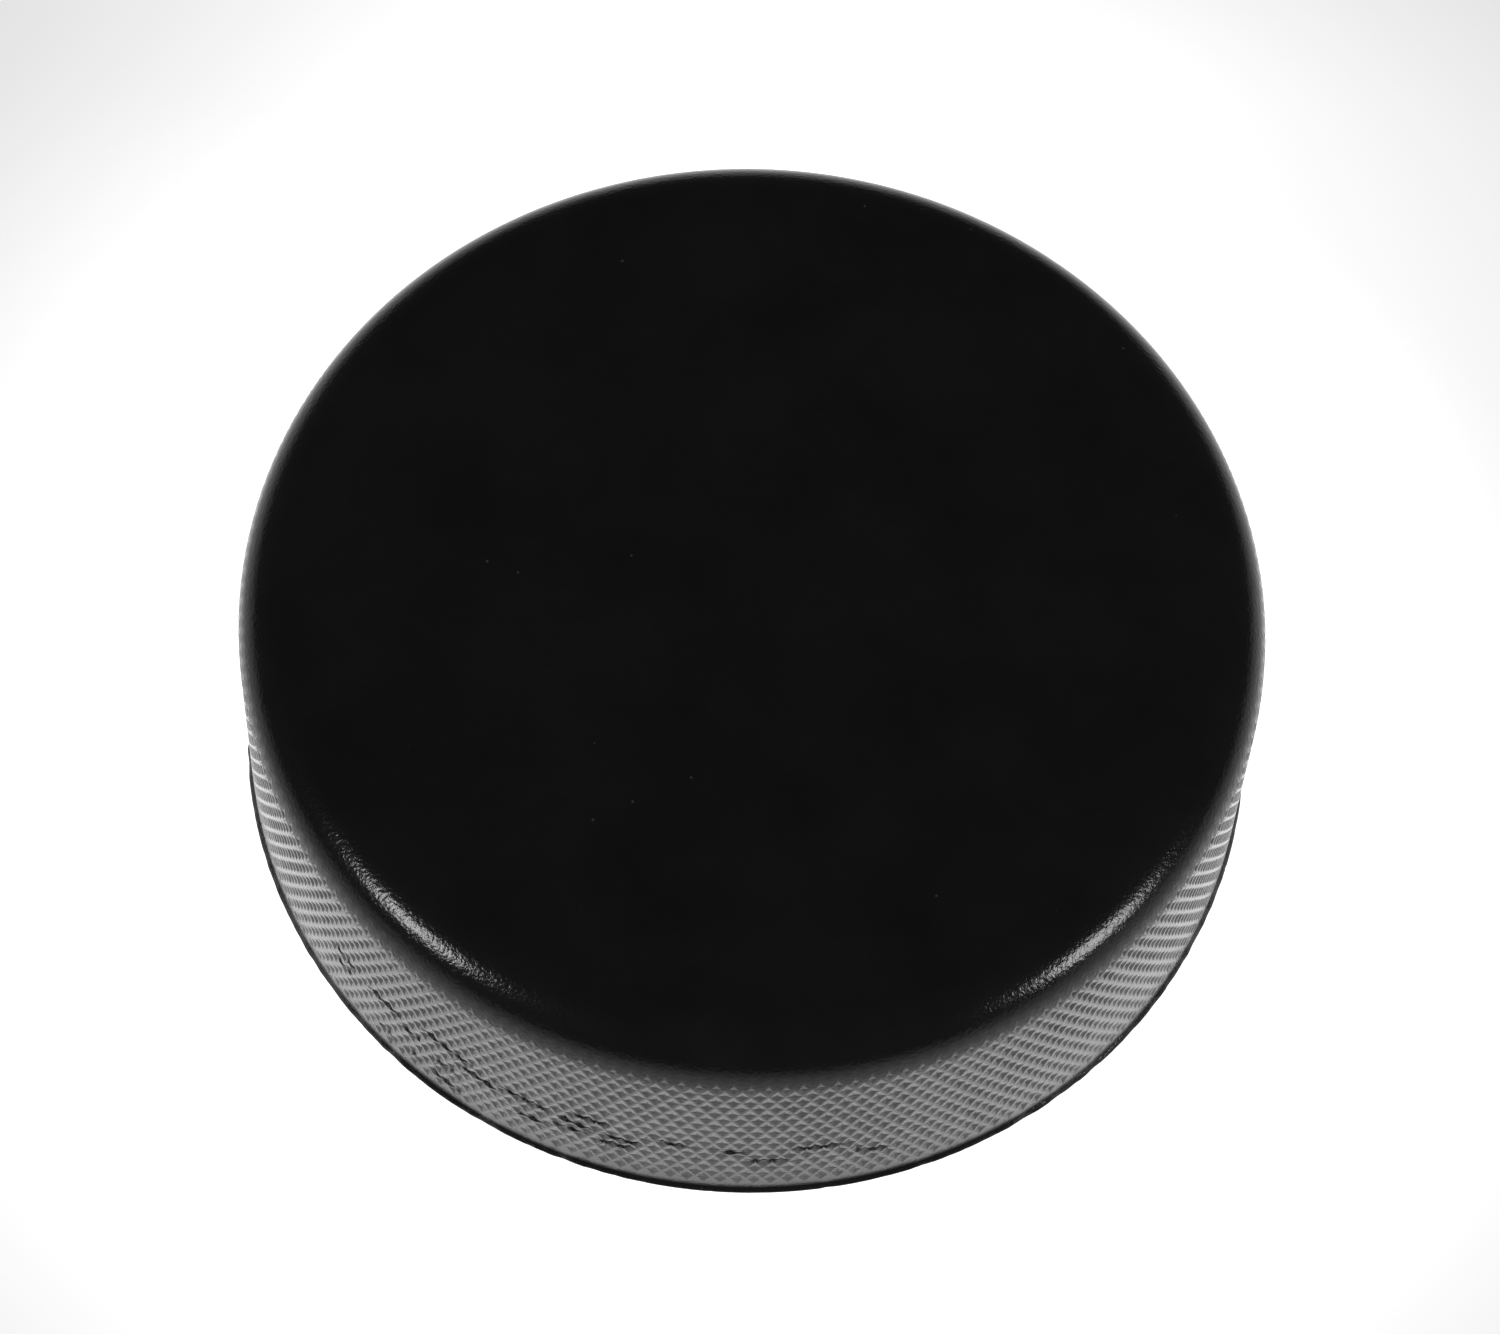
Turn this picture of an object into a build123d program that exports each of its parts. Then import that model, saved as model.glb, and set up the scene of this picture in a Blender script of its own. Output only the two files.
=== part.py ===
from build123d import *

import os

# An ice hockey puck: one compression-moulded piece of vulcanised rubber, with no moving parts.
# The origin is the centre of the bottom face, and +Z runs up the puck's axis.
# The mould's two halves met near the bottom face, so the two rims have different shapes.
# Sizes are in millimetres.

# Regulation size: three inches across the side and one inch thick.
diameter = 76.2
thickness = 25.4

# Top rim: a full round from the flat face into the side.
top_round_radius = 4.5

# Bottom rim: a shallower round that rises from the flat face and stops at the parting line.
crown_width = 3.7
parting_height = 2.3

# Parting line: the flash is trimmed to a thin lip, which slopes back into the side above it.
lip_stand_out = 0.3
lip_height = 0.2
lip_slope_height = 0.4

# The side is the plain cylinder that the crests of the diamond knurl lie on.
side_radius = diameter / 2
lip_radius = side_radius + lip_stand_out
lip_top = parting_height + lip_height
side_start = lip_top + lip_slope_height
crown_start_radius = side_radius - crown_width

os.makedirs("parts", exist_ok=True)

with BuildPart() as puck_body:
    # Half of the section, to the right of the axis, with a square corner at the top rim.
    with BuildSketch(Plane.XZ) as half_section:
        with BuildLine() as outline:
            bottom_face = Line((0, 0), (crown_start_radius, 0))
            crown = TangentArc(bottom_face @ 1, (side_radius, parting_height), tangent=bottom_face % 1)
            lip_and_side = Polyline(
                crown @ 1,
                (lip_radius, parting_height),
                (lip_radius, lip_top),
                (side_radius, side_start),
                (side_radius, thickness),
                (0, thickness),
                (0, 0),
            )
        make_face()
    revolve(axis=Axis.Z)
    # The square corner is the only edge at the top face's height.
    top_rim = puck_body.edges().group_by(Axis.Z)[-1]
    fillet(top_rim, radius=top_round_radius)

puck_body.part.label = "puck_body"
export_step(puck_body.part, "parts/puck_body.step")
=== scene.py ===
import math
import random

import bmesh
import bpy
from mathutils import Euler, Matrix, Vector, noise


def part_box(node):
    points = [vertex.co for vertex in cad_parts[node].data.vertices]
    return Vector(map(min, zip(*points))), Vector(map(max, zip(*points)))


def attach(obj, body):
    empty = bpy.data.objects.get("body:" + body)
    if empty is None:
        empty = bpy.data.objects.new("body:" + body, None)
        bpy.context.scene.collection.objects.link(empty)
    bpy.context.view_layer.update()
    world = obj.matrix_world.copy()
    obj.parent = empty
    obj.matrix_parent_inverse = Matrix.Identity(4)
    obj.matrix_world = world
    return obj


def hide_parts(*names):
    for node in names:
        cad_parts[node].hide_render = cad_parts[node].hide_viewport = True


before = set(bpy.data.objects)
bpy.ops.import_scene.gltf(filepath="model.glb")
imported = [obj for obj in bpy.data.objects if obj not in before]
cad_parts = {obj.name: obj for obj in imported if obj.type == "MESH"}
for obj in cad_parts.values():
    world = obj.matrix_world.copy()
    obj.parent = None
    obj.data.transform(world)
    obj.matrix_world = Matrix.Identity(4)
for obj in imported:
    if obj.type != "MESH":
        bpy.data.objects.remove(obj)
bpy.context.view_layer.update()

MM = 0.001

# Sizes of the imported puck. Its box gives the thickness and the lip's radius, and the rest repeat the
# CAD model's own. Only the slope above the lip differs: it is steeper, and lies inside the CAD's.
low, high = (Vector(corner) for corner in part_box("puck_body"))
THICKNESS = high.z - low.z
LIP_STAND_OUT = 0.3 * MM
SIDE_RADIUS = (high.x - low.x) / 2 - LIP_STAND_OUT
TOP_ROUND = 4.5 * MM
ROUND_START = THICKNESS - TOP_ROUND
CROWN_WIDTH = 3.7 * MM
PARTING_HEIGHT = 2.3 * MM
LIP_TOP = PARTING_HEIGHT + 0.2 * MM
LIP_SLOPE = 0.3 * MM

# The diamond knurl: 192 shallow pits around, in staggered rows between crossed ridges. The rows are
# numbered from 0 at the foot. The first and last ones are plain, so the pits end short of the lip
# and fade out on the top round.
CELLS = 192
CELL_ANGLE = 2 * math.pi / CELLS
ROW_HEIGHT = 1.14 * MM
LAST_ROW = 17
KNURL_FOOT = 3.4 * MM
# The way from a cell's middle to each corner, in cells around and in rows up.
CORNERS = {"left": (-0.5, 0), "bottom": (0, -1), "right": (0.5, 0), "top": (0, 1)}

# The pits' depths drift around the side, and differ from pit to pit.
PIT_DEPTH = 0.15 * MM
PIT_DRIFT = 0.35
PIT_DRIFT_SIZE = 14 * MM
PIT_SCATTER = 0.16
# The bottoms lie a little below the middles, so the upper slopes are the gentler ones.
PIT_SAG = 0.24 * MM
# Each pit steps in from the ridges' centre lines (1) to its bottom (0), with its share of the depth.
PIT_STEPS = ((1.0, 0.0), (0.86, 0.02), (0.74, 0.13), (0.12, 0.96), (0.0, 1.0))
# The last row of pits takes more steps, and so does the plain row above it, to follow the top round.
ROUND_STEPS = (0.77, 0.57, 0.34)
PLAIN_STEPS = (0.66, 0.33)

# The flash lip's section, from the top of its slope down to its underside: the share of the lip's
# width, how far in from there, and the height.
LIP_SECTION = (
    (0.0, 0.0, LIP_TOP + LIP_SLOPE),
    (0.5, 0.0, LIP_TOP + 0.45 * LIP_SLOPE),
    (1.0, 0.03 * MM, LIP_TOP),
    (1.0, 0.0, LIP_TOP - 0.05 * MM),
    (1.0, 0.01 * MM, PARTING_HEIGHT + 0.04 * MM),
    (1.0, 0.05 * MM, PARTING_HEIGHT),
)
# The lip's width, in shares of how far it may stand out: its usual and least widths, and what slow
# waves, quick waves, the ragged edge and the nicks change.
LIP_USUAL, LIP_LEAST = 0.98, 0.5
LIP_SLOW, LIP_QUICK, LIP_RAGGED, LIP_NICK = 0.35, 0.25, 0.08, 1.0
# How closely each of them follows the next around the puck.
SLOW_PACE, QUICK_PACE, RAGGED_PACE, NICK_PACE = 2.5, 30, 140, 22
# Only the noise above this makes a nick.
NICK_START = 0.4

# Scuffs cut across the ridges, mostly on the side's front left: degrees from the front, then the
# height and half length in millimetres, and the slope.
SCUFFS = (
    (-49.0, 9.7, 0.9, -0.05),
    (-48.6, 11.8, 1.3, -0.15),
    (-41.7, 11.2, 1.5, -0.05),
    (-42.0, 6.0, 0.5, 0.0),
    (-38.0, 9.7, 0.9, 0.0),
    (-38.0, 6.1, 0.5, 0.0),
    (-33.3, 8.3, 1.0, 0.0),
    (-32.9, 5.3, 1.3, -0.2),
    (-32.5, 12.0, 2.1, -0.17),
    (-28.4, 10.1, 1.7, -0.27),
    (-22.6, 10.6, 1.9, -0.08),
    (-21.7, 7.5, 1.0, 0.0),
    (-17.2, 8.5, 1.2, 0.05),
    (-16.5, 9.8, 1.3, -0.2),
    (-14.8, 11.5, 1.4, -0.1),
    (-11.8, 8.1, 1.3, -0.05),
    (-11.2, 9.3, 1.4, -0.12),
    (-5.4, 10.4, 1.0, -0.15),
    (1.2, 9.8, 0.8, 0.0),
    (5.1, 8.3, 1.4, 0.0),
    (10.5, 10.3, 1.7, 0.0),
    (16.7, 8.2, 1.3, -0.3),
)
SCUFF_DEPTH = 0.4 * MM
# How far the groove's flanks go above and below its line.
SCUFF_ABOVE = 0.09 * MM
SCUFF_BELOW = 0.54 * MM
# The faded ends take a scuff past its half length by this factor.
SCUFF_REACH = 1.2
# An end comes to its full depth over a third of the reach, and the torn look to its full strength at
# a third of the depth.
SCUFF_RISE = 3
# The surface is made finer this far past a scuff's ends, to each side of it, and in behind it.
FINE_PAST = 0.7 * MM
FINE_BESIDE = 0.9 * MM
FINE_BEHIND = 3 * MM
# A cut that passes this near a point goes through it, and edges shorter than the sliver are closed up.
CUT_SNAP = 0.002 * MM
SLIVER = 0.004 * MM

SHARP_ANGLE = math.radians(32)

# The rubber: two blacks that the mottle runs between, the dust, and what each layer does to the
# roughness.
DEEP_BLACK = (0.0065, 0.0065, 0.0066, 1)
PALE_BLACK = (0.0095, 0.0095, 0.0097, 1)
DUST = (0.06, 0.06, 0.057, 1)
RUBBER_IOR = 1.38
SMUDGE_ROUGHNESS = (0.165, 0.205)
GRAIN_ROUGHNESS = (-0.02, 0.02)
PIT_ROUGHNESS = (-0.02, 0.03)
SCUFF_ROUGHNESS = (0.0, 0.04)
MOTTLE_SIZE, SMUDGE_SIZE, PEEL_SIZE, GRAIN_SIZE = 9 * MM, 16 * MM, 1.3 * MM, 0.28 * MM
# The parts of the noises' range that are stretched to the whole of a layer's.
MOTTLE_SPAN, NOISE_SPAN = (0.35, 0.65), (0.3, 0.7)
# Specks of dust, as far apart as this, fade out between these shares of it from their middles.
SPECK_SPACING = 3.5 * MM
SPECK_EDGE = (0.02, 0.035)
PEEL_HEIGHT, GRAIN_HEIGHT = 0.012 * MM, 0.03 * MM

# The floor's painted pool of light: within this radius it glows fully and is white, and beyond it the glow
# and the white fade as a power of the distance, the colour towards grey.
GLOW_MIDDLE = (0, 0.005, 0)
GLOW_RADIUS = 0.044
GLOW_FADE = 1.08
PAINTED_GLOW = (1.22, 1.22, 1.22, 1)
# The floor's colour runs from white in the painted pool of light to this grey, which is painted dimness
# further out.
FLOOR_PAINTED_DIM_GREY = (0.42, 0.42, 0.42, 1)
FLOOR_WHITE = (0.8, 0.8, 0.8, 1)
FLOOR_ROUGHNESS = 0.7
# The floor's outline from near its middle out to its rim: radius and height, in metres.
FLOOR_OUTLINE = (
    (0.05, 0.0),
    (0.1, 0.0),
    (0.2, 0.0),
    (0.4, 0.0),
    (0.8, 0.0),
    (1.6, 0.0),
    (2.4, 0.05),
    (3.0, 0.3),
)
FLOOR_SIDES = 96

LAMP_POWER = 8.0
ROOM_GREY = (0.08, 0.08, 0.08, 1)

random.seed(21)


def rim_inset(height):
    """How far the top rim's round lies inside the side's cylinder at a height."""
    rise = max(0.0, height - ROUND_START)
    return TOP_ROUND - math.sqrt(TOP_ROUND**2 - rise**2)


def pit_share(scale):
    """The share of a pit's depth at a scale between the ridges and the pit's bottom."""
    for (outer, shallow), (inner, deep) in zip(PIT_STEPS, PIT_STEPS[1:]):
        if scale >= inner:
            return shallow + (deep - shallow) * (outer - scale) / (outer - inner)
    return 1.0


def depth_at(turn, height, row):
    """The depth of the pit whose middle is at this place: uneven, as a worn mould leaves it."""
    if row in (0, LAST_ROW):
        return 0.0
    angle = turn * CELL_ANGLE
    place = Vector((math.cos(angle), math.sin(angle), 0)) * SIDE_RADIUS + Vector((0, 0, height))
    drift = noise.noise(place / PIT_DRIFT_SIZE)
    return PIT_DEPTH * (1 + PIT_DRIFT * drift + random.uniform(-PIT_SCATTER, PIT_SCATTER))


class Skin:
    """The puck's closed surface, built from points and faces, with its sharp edges and pit shares."""

    def __init__(self):
        self.points = []
        self.faces = []
        self.creases = []
        self.pit_shares = []

    def point(self, radius, turn, height, pit=0.0):
        """Adds a point, with turn counted in knurl cells, and returns its number."""
        angle = turn * CELL_ANGLE
        self.points.append((radius * math.cos(angle), radius * math.sin(angle), height))
        self.pit_shares.append(pit)
        return len(self.points) - 1

    def loop(self, radius, height, turns):
        """Adds a closed loop of points. Radius may be a function of the turn."""
        return [self.point(radius(t) if callable(radius) else radius, t, height) for t in turns]

    def band(self, below, above):
        """Joins two loops of equal length with quads."""
        for i in range(len(below)):
            j = (i + 1) % len(below)
            self.faces.append((below[i], below[j], above[j], above[i]))

    def gather(self, coarse, fine, coarse_is_above):
        """Joins a fine loop to a coarse one with triangles."""
        many = len(fine) // len(coarse)
        half = many // 2
        for i in range(len(coarse)):
            left, right = coarse[i], coarse[(i + 1) % len(coarse)]
            run = [fine[(i * many + k) % len(fine)] for k in range(many + 1)]
            fans = [(run[k], run[k + 1], left if k < half else right) for k in range(many)]
            fans.append((run[half], right, left))
            self.faces += fans if coarse_is_above else [fan[::-1] for fan in fans]

    def close(self, loop, height, facing_up):
        """Fills a loop with triangles that meet at the axis."""
        middle = self.point(0, 0, height)
        for i in range(len(loop)):
            edge = (loop[i], loop[(i + 1) % len(loop)])
            self.faces.append((*edge, middle) if facing_up else (*edge[::-1], middle))


def add_cell(skin, corners, turn, height, row):
    """Adds one pit inside its corners, which go left, bottom, right, top.

    A cell of the first row has no bottom corner, and one of the last row has no top corner. Returns
    the points across the cell's middle, which are the open edge of such a cut cell.
    """
    depth = depth_at(turn, height, row)
    scales = [step[0] for step in PIT_STEPS[1:-1]]
    if row == 0:
        scales = []
    elif row == LAST_ROW:
        scales = PLAIN_STEPS
    elif row == LAST_ROW - 1:
        scales = sorted([*scales, *ROUND_STEPS], reverse=True)
    sides = [name for name in CORNERS if corners[name] is not None]
    whole = len(sides) == 4
    sag = PIT_SAG if whole else 0.0
    if corners["bottom"] is None:
        sides = ["right", "top", "left"]

    rings = [{name: corners[name] for name in sides}]
    for scale in scales:
        ring = {}
        for name in sides:
            across, up = CORNERS[name]
            z = height + up * ROW_HEIGHT * scale - sag * (1 - scale)
            inset = max(depth * pit_share(scale), rim_inset(z))
            ring[name] = skin.point(SIDE_RADIUS - inset, turn + across * scale, z, pit_share(scale))
        rings.append(ring)
    inset = max(depth, rim_inset(height))
    middle = skin.point(SIDE_RADIUS - inset, turn, height - sag, 1.0)

    edges = list(zip(sides, sides[1:] + sides[:1])) if whole else list(zip(sides, sides[1:]))
    for outer, inner in zip(rings, rings[1:]):
        skin.faces += [(outer[a], outer[b], inner[b], inner[a]) for a, b in edges]
    skin.faces += [(rings[-1][a], rings[-1][b], middle) for a, b in edges]
    if whole:
        skin.creases += [(outer[a], inner[a]) for outer, inner in zip(rings[1:], rings[2:]) for a in sides]
        skin.creases += [(rings[-1][a], middle) for a in sides]
    return [ring["left"] for ring in rings] + [middle] + [ring["right"] for ring in rings[:0:-1]]


def add_knurl(skin):
    """Adds the knurled side and returns its bottom and top loops."""
    crossings = []
    for row in range(LAST_ROW + 1):
        height = KNURL_FOOT + row * ROW_HEIGHT
        shift = 0.5 * (row % 2)
        radius = SIDE_RADIUS - rim_inset(height)
        crossings.append([skin.point(radius, j + shift, height) for j in range(CELLS)])

    bottom_loop, top_loop = [], []
    for row in range(LAST_ROW + 1):
        height = KNURL_FOOT + row * ROW_HEIGHT
        odd = row % 2
        for j in range(CELLS):
            beside = (j + odd) % CELLS
            corners = {
                "left": crossings[row][j],
                "bottom": crossings[row - 1][beside] if row > 0 else None,
                "right": crossings[row][(j + 1) % CELLS],
                "top": crossings[row + 1][beside] if row < LAST_ROW else None,
            }
            cut = add_cell(skin, corners, j + 0.5 + 0.5 * odd, height, row)
            if row == 0:
                bottom_loop += cut
            if row == LAST_ROW:
                top_loop += cut
    return bottom_loop, top_loop


def turns_of(skin, loop):
    """Each point's turn around the axis, in knurl cells."""
    return [math.atan2(skin.points[i][1], skin.points[i][0]) / CELL_ANGLE for i in loop]


def lip_width(turn):
    """How far the trimmed flash stands out: uneven all round, with a few short nicks."""
    angle = turn * CELL_ANGLE
    ahead = Vector((math.cos(angle), math.sin(angle), 0))
    # The shifts read the slow waves and the nicks from other parts of the noise than the rest.
    slow = noise.noise(ahead * SLOW_PACE + Vector((3.1, 0, 0)))
    quick = noise.noise(ahead * QUICK_PACE)
    ragged = noise.noise(ahead * RAGGED_PACE)
    nick = max(0.0, noise.noise(ahead * NICK_PACE + Vector((0, 5.7, 0))) - NICK_START)
    share = LIP_USUAL - LIP_SLOW * slow + LIP_QUICK * quick + LIP_RAGGED * ragged - LIP_NICK * nick
    return LIP_STAND_OUT * min(1.0, max(LIP_LEAST, share))


def add_lip(skin, foot):
    """Adds the flash lip below the knurl and returns the loop where the crown begins."""
    foot_turns = turns_of(skin, foot)
    # The foot's points are half a cell apart, and the lip's are half of that, to show its ragged edge.
    turns = [turn + step for turn in foot_turns for step in (0.0, 0.25)]

    def section_loop(share, inset, height):
        return skin.loop(lambda turn: SIDE_RADIUS + share * lip_width(turn) - inset, height, turns)

    loops = [section_loop(*place) for place in LIP_SECTION]
    slope_top, under = loops[0], loops[-1]
    skin.gather(foot, slope_top, coarse_is_above=True)
    for above, below in zip(loops, loops[1:]):
        skin.band(below, above)
    skin.creases += list(zip(slope_top, slope_top[1:] + slope_top[:1]))
    crown_rim = skin.loop(SIDE_RADIUS, PARTING_HEIGHT, foot_turns)
    skin.gather(crown_rim, under, coarse_is_above=False)
    return crown_rim, foot_turns


def add_crown(skin, rim, turns):
    """Adds the shallow round under the parting line and the bottom face."""
    arc_radius = (CROWN_WIDTH**2 + PARTING_HEIGHT**2) / (2 * PARTING_HEIGHT)
    arc_end = math.asin(CROWN_WIDTH / arc_radius)
    flat_radius = SIDE_RADIUS - CROWN_WIDTH
    steps = 9
    above = rim
    for k in range(steps - 1, -1, -1):
        angle = arc_end * k / steps
        radius = flat_radius + arc_radius * math.sin(angle)
        below = skin.loop(radius, arc_radius * (1 - math.cos(angle)), turns)
        skin.band(below, above)
        above = below
    add_face(skin, above, turns, flat_radius, 0.0, facing_up=False)


def add_top_round(skin, rim):
    """Adds the round above the knurl and the top face, with two points to each knurl cell."""
    rise = skin.points[rim[0]][2] - ROUND_START
    arc_start = math.asin(rise / TOP_ROUND)
    steps = 13
    turns = turns_of(skin, rim[:: len(rim) // (2 * CELLS)])
    below = rim
    for k in range(1, steps + 1):
        angle = arc_start + (math.pi / 2 - arc_start) * k / steps
        radius = SIDE_RADIUS - TOP_ROUND * (1 - math.cos(angle))
        above = skin.loop(radius, ROUND_START + TOP_ROUND * math.sin(angle), turns)
        if k == 1:
            skin.gather(above, below, coarse_is_above=True)
        else:
            skin.band(below, above)
        below = above
    add_face(skin, below, turns, SIDE_RADIUS - TOP_ROUND, THICKNESS, facing_up=True)


def add_face(skin, rim, turns, radius, height, facing_up):
    """Fills a flat face with a few rings."""
    outer = rim
    for share in (0.98, 0.85, 0.6, 0.35, 0.12):
        inner = skin.loop(radius * share, height, turns)
        skin.band(*((outer, inner) if facing_up else (inner, outer)))
        outer = inner
    skin.close(outer, height, facing_up)


def cut_scuffs(surface):
    """Cuts each scuff as a short groove that fades at its ends: steep above its line, broad below it."""
    torn = surface.verts.layers.float.new("scuff")
    for front_angle, height_mm, half_mm, slope in SCUFFS:
        angle = math.radians(front_angle) - math.pi / 2
        outward = Vector((math.cos(angle), math.sin(angle), 0))
        along = Vector((-outward.y, outward.x, 0))
        centre = outward * SIDE_RADIUS + Vector((0, 0, height_mm * MM))
        across = (Vector((0, 0, 1)) - along * slope).normalized()
        along = along + Vector((0, 0, slope))
        reach = SCUFF_REACH * half_mm * MM

        def faces_near():
            found = []
            for face in surface.faces:
                gap = face.calc_center_median() - centre
                beside = abs(gap.dot(along)) < reach + FINE_PAST and abs(gap.dot(across)) < FINE_BESIDE
                if beside and gap.dot(outward) > -FINE_BEHIND:
                    found.append(face)
            return found

        bmesh.ops.triangulate(surface, faces=faces_near())
        edges = {edge for face in faces_near() for edge in face.edges}
        bmesh.ops.subdivide_edges(surface, edges=list(edges), cuts=1, use_grid_fill=True)
        for offset in (-SCUFF_BELOW, 0.0, SCUFF_ABOVE):
            faces = faces_near()
            parts = {*faces}
            parts.update(edge for face in faces for edge in face.edges)
            parts.update(vertex for face in faces for vertex in face.verts)
            bmesh.ops.bisect_plane(
                surface, geom=list(parts), dist=CUT_SNAP, plane_co=centre + across * offset, plane_no=across
            )
        bmesh.ops.triangulate(surface, faces=faces_near())
        for vertex in {vertex for face in faces_near() for vertex in face.verts}:
            gap = vertex.co - centre
            run, rise = gap.dot(along) / reach, gap.dot(across)
            flank = SCUFF_ABOVE if rise > 0 else SCUFF_BELOW
            share = min(1.0, SCUFF_RISE * (1 - abs(run))) * (1 - abs(rise) / flank)
            if abs(run) < 1 and share > 0:
                radius = math.hypot(vertex.co.x, vertex.co.y)
                kept = min(radius, SIDE_RADIUS - SCUFF_DEPTH * share)
                vertex.co.x *= kept / radius
                vertex.co.y *= kept / radius
                vertex[torn] = max(vertex[torn], min(1.0, SCUFF_RISE * share))
    bmesh.ops.dissolve_degenerate(surface, dist=SLIVER, edges=surface.edges)


def add_bake_map(mesh):
    """Lays the surface out flat: the side as two strips, and the two faces as discs below them."""
    map_side = 160 * MM
    disc, gap = 78 * MM, 2 * MM
    level = 0.7
    layer = mesh.uv_layers.new(name="OFBake")
    for face in mesh.polygons:
        middle, up = face.center, face.normal.z
        on_rim = middle.z > ROUND_START or math.hypot(middle.x, middle.y) > SIDE_RADIUS
        faces_up = up > level and on_rim
        faces_down = up < -level and middle.z < LIP_TOP
        turn = math.atan2(middle.y, middle.x)
        for loop in face.loop_indices:
            x, y, z = mesh.vertices[mesh.loops[loop].vertex_index].co
            if faces_up or faces_down:
                u, v = x + disc / 2 + (disc if faces_down else 0) + gap, y + disc / 2 + gap
            else:
                here = math.atan2(y, x)
                here += 2 * math.pi * round((turn - here) / (2 * math.pi))
                back = turn > 0
                u = (here if back else here + math.pi) * SIDE_RADIUS + 2 * gap
                v = disc + 2 * gap + z + (THICKNESS + gap if back else 0)
            layer.data[loop].uv = (u / map_side, v / map_side)


def puck_mesh():
    """The whole puck as one closed mesh."""
    skin = Skin()
    foot, rim = add_knurl(skin)
    crown_rim, turns = add_lip(skin, foot)
    add_crown(skin, crown_rim, turns)
    add_top_round(skin, rim)

    mesh = bpy.data.meshes.new("knurled_puck")
    mesh.from_pydata(skin.points, [], skin.faces)
    mesh.polygons.foreach_set("use_smooth", [True] * len(mesh.polygons))
    pit = mesh.attributes.new("pit", "FLOAT", "POINT")
    pit.data.foreach_set("value", skin.pit_shares)

    surface = bmesh.new()
    surface.from_mesh(mesh)
    creases = {frozenset(pair) for pair in skin.creases}
    for edge in surface.edges:
        if frozenset(vertex.index for vertex in edge.verts) in creases:
            edge.smooth = False
    cut_scuffs(surface)
    for edge in surface.edges:
        if edge.calc_face_angle(0.0) > SHARP_ANGLE:
            edge.smooth = False
    surface.to_mesh(mesh)
    surface.free()
    add_bake_map(mesh)
    return mesh


class Look:
    """A material and the nodes that make it. A node's inputs take plain values or other nodes' outputs."""

    def __init__(self, name):
        self.material = bpy.data.materials.new(name)
        self.material.use_nodes = True
        self.nodes = self.material.node_tree.nodes
        self.links = self.material.node_tree.links
        self.place = self.nodes.new("ShaderNodeTexCoord").outputs["Object"]

    def feed(self, socket, value):
        """Gives an input its value."""
        if isinstance(value, bpy.types.NodeSocket):
            self.links.new(value, socket)
        else:
            socket.default_value = value

    def set(self, name, value):
        """Gives one of the shader's inputs its value."""
        self.feed(self.nodes["Principled BSDF"].inputs[name], value)

    def add(self, kind, output, **inputs):
        """Adds a node and returns one of its outputs. Underscores in the inputs' names stand for spaces."""
        node = self.nodes.new("ShaderNode" + kind)
        for name, value in inputs.items():
            self.feed(node.inputs[name.replace("_", " ")], value)
        return node.outputs[output]

    def noise(self, size, detail=2.0, rough=0.5):
        """A cloudy noise whose lumps have about this size."""
        return self.add("TexNoise", "Fac", Vector=self.place, Scale=1 / size, Detail=detail, Roughness=rough)

    def mapped(self, value, span, onto):
        """Stretches one span of values onto another."""
        ends = {"From_Min": span[0], "From_Max": span[1], "To_Min": onto[0], "To_Max": onto[1]}
        return self.add("MapRange", "Result", Value=value, **ends)

    def maths(self, operation, first, second):
        """Works out an operation on two values."""
        node = self.nodes.new("ShaderNodeMath")
        node.operation = operation
        self.feed(node.inputs[0], first)
        self.feed(node.inputs[1], second)
        return node.outputs["Value"]

    def mix(self, share, nothing, everything):
        """Mixes two colours: the first at a share of 0 and the second at 1."""
        node = self.nodes.new("ShaderNodeMix")
        node.data_type = "RGBA"
        self.feed(node.inputs[0], share)
        self.feed(node.inputs[6], nothing)
        self.feed(node.inputs[7], everything)
        return node.outputs[2]

    def attribute(self, name):
        """The values that the mesh holds under a name."""
        node = self.nodes.new("ShaderNodeAttribute")
        node.attribute_name = name
        return node.outputs["Fac"]


def rubber_material():
    """Black vulcanised rubber: semi-matt and faintly mottled, with a fine moulded grain and some dust."""
    look = Look("puck_rubber")
    look.set("IOR", RUBBER_IOR)
    whole = (0.0, 1.0)

    mottle = look.mapped(look.noise(MOTTLE_SIZE, detail=4.0, rough=0.6), MOTTLE_SPAN, whole)
    to_speck = look.add("TexVoronoi", "Distance", Vector=look.place, Scale=1 / SPECK_SPACING)
    speck = look.mapped(to_speck, SPECK_EDGE, (1.0, 0.0))
    look.set("Base Color", look.mix(speck, look.mix(mottle, DEEP_BLACK, PALE_BLACK), DUST))

    grain = look.noise(GRAIN_SIZE)
    smudge = look.noise(SMUDGE_SIZE, detail=3.0, rough=0.55)
    roughness = look.mapped(smudge, NOISE_SPAN, SMUDGE_ROUGHNESS)
    for part, span, onto in (
        (grain, NOISE_SPAN, GRAIN_ROUGHNESS),
        (look.attribute("pit"), whole, PIT_ROUGHNESS),
        (look.attribute("scuff"), whole, SCUFF_ROUGHNESS),
    ):
        roughness = look.maths("ADD", roughness, look.mapped(part, span, onto))
    look.set("Roughness", roughness)

    peel = look.add("Bump", "Normal", Height=look.noise(PEEL_SIZE), Distance=PEEL_HEIGHT)
    look.set("Normal", look.add("Bump", "Normal", Height=grain, Distance=GRAIN_HEIGHT, Normal=peel))
    return look.material


def add_puck():
    """The visible puck, which replaces the plain CAD solid."""
    puck = bpy.data.objects.new("knurled_puck", puck_mesh())
    bpy.context.scene.collection.objects.link(puck)
    puck.data.materials.append(rubber_material())
    weighting = puck.modifiers.new("even_shading", "WEIGHTED_NORMAL")
    weighting.keep_sharp = True
    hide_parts("puck_body")
    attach(puck, "root")


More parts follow.
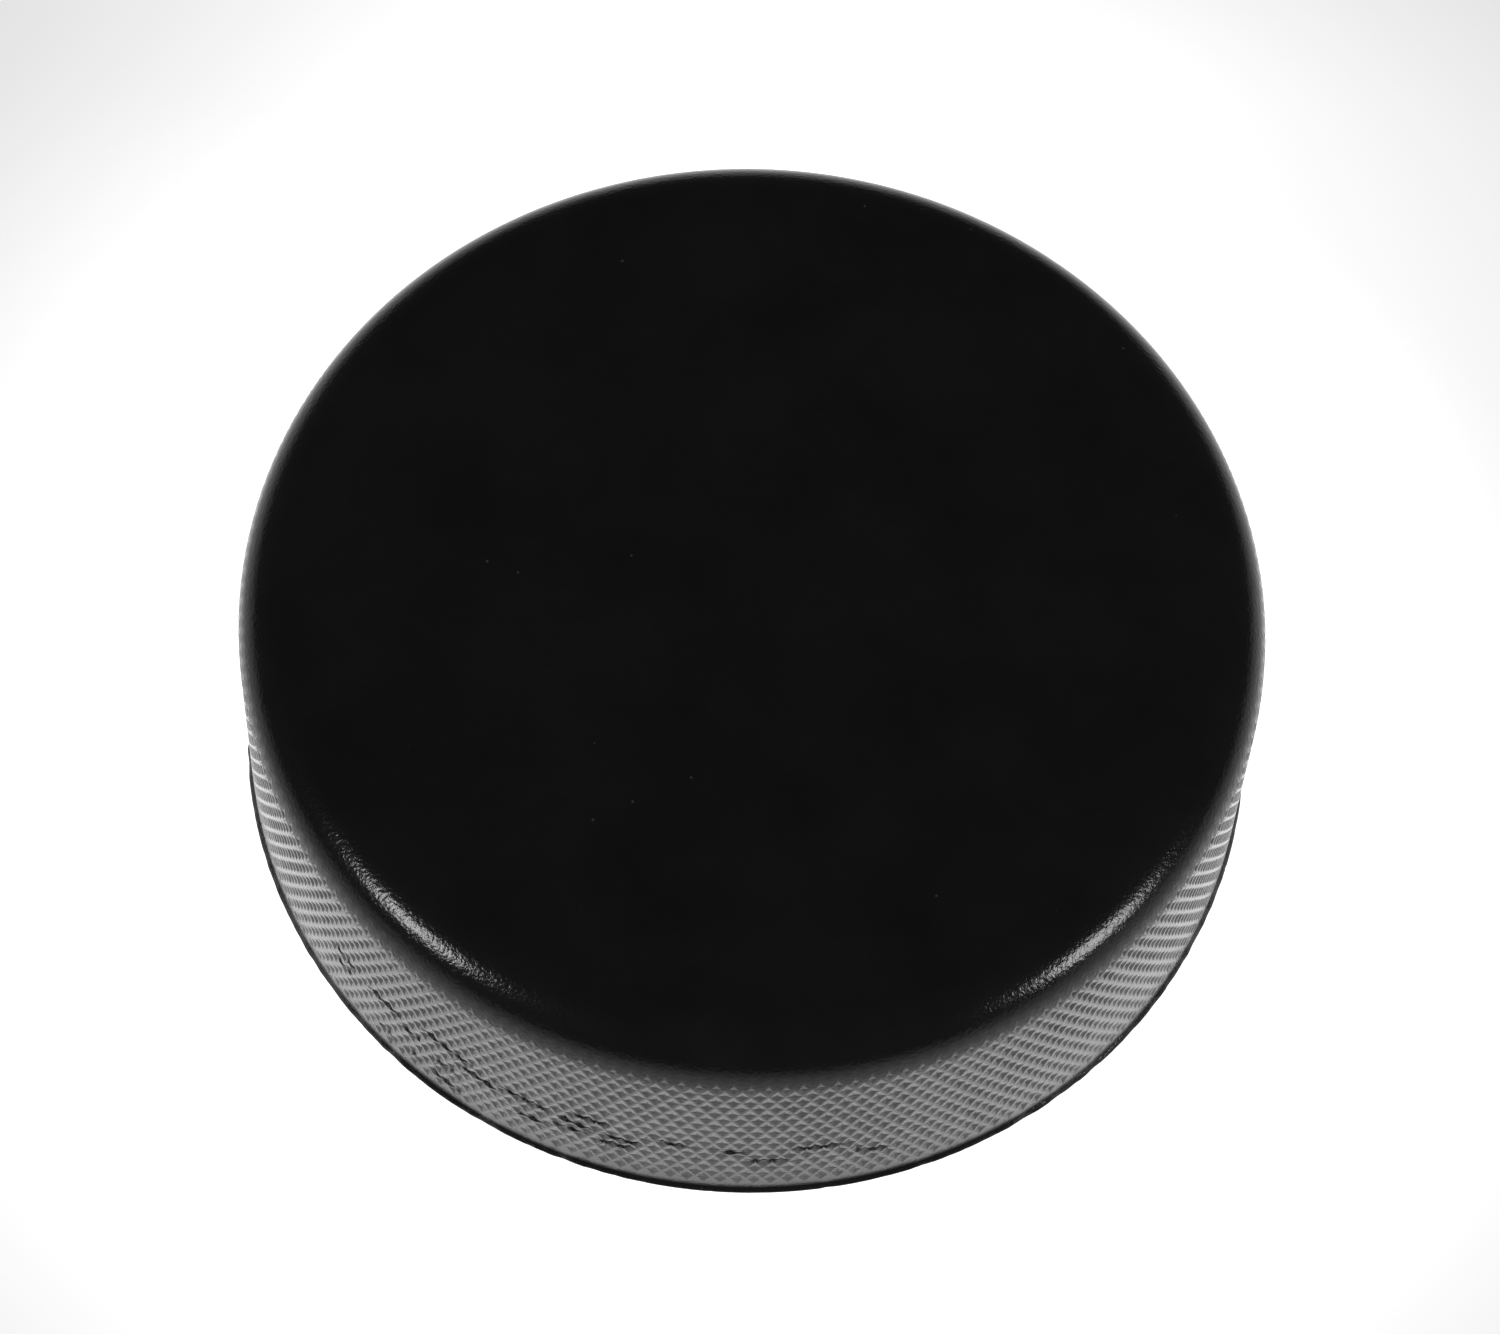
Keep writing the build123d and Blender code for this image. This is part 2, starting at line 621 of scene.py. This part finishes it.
def floor_material():
    """A painted pool of light: white and glowing where the puck stands, fading to a pale grey further out
    that is painted dimness.
    """
    look = Look("pale_floor")
    look.set("Roughness", FLOOR_ROUGHNESS)
    distance = look.nodes.new("ShaderNodeVectorMath")
    distance.operation = "DISTANCE"
    look.feed(distance.inputs[0], look.place)
    look.feed(distance.inputs[1], GLOW_MIDDLE)
    # The painted pool of light: full within the radius, then falling off with distance. It drives both the
    # floor's colour and its glow.
    nearness = look.maths("DIVIDE", GLOW_RADIUS, distance.outputs["Value"])
    painted_pool = look.maths("MINIMUM", look.maths("POWER", nearness, GLOW_FADE), 1.0)
    look.set("Base Color", look.mix(painted_pool, FLOOR_PAINTED_DIM_GREY, FLOOR_WHITE))
    look.set("Emission Color", PAINTED_GLOW)
    look.set("Emission Strength", painted_pool)
    return look.material


def add_floor():
    """A broad round floor with a gently raised rim."""
    points, faces = [], []
    for radius, height in FLOOR_OUTLINE:
        for k in range(FLOOR_SIDES):
            angle = 2 * math.pi * k / FLOOR_SIDES
            points.append((radius * math.cos(angle), radius * math.sin(angle), height))
    points.append((0.0, 0.0, 0.0))
    middle = len(points) - 1
    for k in range(FLOOR_SIDES):
        after = (k + 1) % FLOOR_SIDES
        faces.append((k, after, middle))
        for ring in range(len(FLOOR_OUTLINE) - 1):
            inner, outer = ring * FLOOR_SIDES, (ring + 1) * FLOOR_SIDES
            faces.append((inner + k, outer + k, outer + after, inner + after))
    mesh = bpy.data.meshes.new("floor")
    mesh.from_pydata(points, [], faces)
    mesh.polygons.foreach_set("use_smooth", [True] * len(mesh.polygons))
    mesh.materials.append(floor_material())
    floor = bpy.data.objects.new("floor", mesh)
    bpy.context.scene.collection.objects.link(floor)


def add_softbox(name, place, size):
    """A soft rectangular lamp that faces the foot of the puck's axis."""
    lamp = bpy.data.lights.new(name, "AREA")
    lamp.shape = "RECTANGLE"
    lamp.size, lamp.size_y = size
    lamp.energy = LAMP_POWER
    softbox = bpy.data.objects.new(name, lamp)
    softbox.location = place
    softbox.rotation_euler = (-Vector(place)).to_track_quat("-Z", "Y").to_euler()
    bpy.context.scene.collection.objects.link(softbox)


def add_lights():
    """Two soft lamps, low on the left and right, in a dim room. The floor's painted glow does the rest."""
    add_softbox("left_softbox", place=(-1.08, -0.64, 0.82), size=(0.34, 0.35))
    add_softbox("right_softbox", place=(1.28, -0.61, 0.49), size=(0.42, 0.35))
    world = bpy.data.worlds.new("studio")
    world.use_nodes = True
    world.node_tree.nodes["Background"].inputs["Color"].default_value = ROOM_GREY
    bpy.context.scene.world = world


def add_camera():
    """The main view of the puck: from in front and well above, rolled a little."""
    target = Vector((0, 0, THICKNESS / 2))
    elevation, roll, distance = math.radians(63.7), math.radians(3.34), 0.434
    toward = Vector((0, -math.cos(elevation), math.sin(elevation)))
    camera_data = bpy.data.cameras.new("camera")
    camera_data.lens = 138
    camera_data.clip_start = 0.01
    camera = bpy.data.objects.new("camera", camera_data)
    camera.location = target + toward * distance
    facing = (-toward).to_track_quat("-Z", "Y")
    camera.rotation_euler = (facing @ Euler((0, 0, roll)).to_quaternion()).to_euler()
    bpy.context.scene.collection.objects.link(camera)
    bpy.context.scene.camera = camera


add_puck()
add_floor()
add_lights()
add_camera()
bpy.context.scene.view_settings.view_transform = "Standard"
